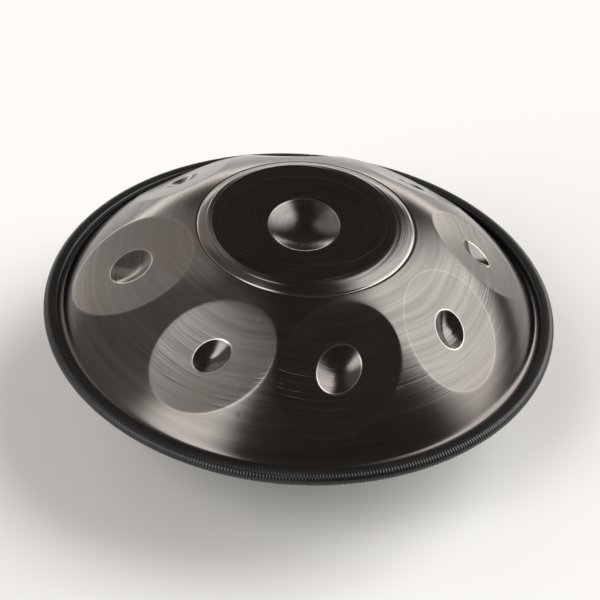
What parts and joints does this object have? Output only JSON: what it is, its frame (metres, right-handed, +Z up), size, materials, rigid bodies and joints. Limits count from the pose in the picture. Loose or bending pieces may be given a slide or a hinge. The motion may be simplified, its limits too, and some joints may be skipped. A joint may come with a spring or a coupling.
{
  "type": "handpan",
  "caption": "Steel handpan: two dished shells glued at the rim, with a hollow centre note, a ring of oval tone fields, a rubber rim strip and a round badge underneath.",
  "frame": {"origin": "on the instrument's axis, in the plane of the flat ring that it rests on", "axes": "+Z up, out of the ding; -Y is the side seen in front in the source view"},
  "size_m": [0.54, 0.5399, 0.2205],
  "materials": {
    "ding_steel": "dark heat-treated steel, satin gloss, fine turned streaks",
    "gu_steel": "dark heat-treated steel, satin gloss, turned; lighter satin base disc",
    "bond": "cured structural adhesive",
    "trim_rubber": "charcoal rubber, finely ribbed across",
    "adhesive": "double-sided film",
    "badge_black": "black lacquer, semi-gloss",
    "badge_gold": "gold print, satin"
  },
  "bodies": {
    "root": {"ding_shell": "ding_steel", "gu_shell": "gu_steel", "rim_bond": "bond", "rim_trim": "trim_rubber", "badge_adhesive": "adhesive", "badge_plate": "badge_black", "badge_gold": "badge_gold"}
  },
  "joints": []
}
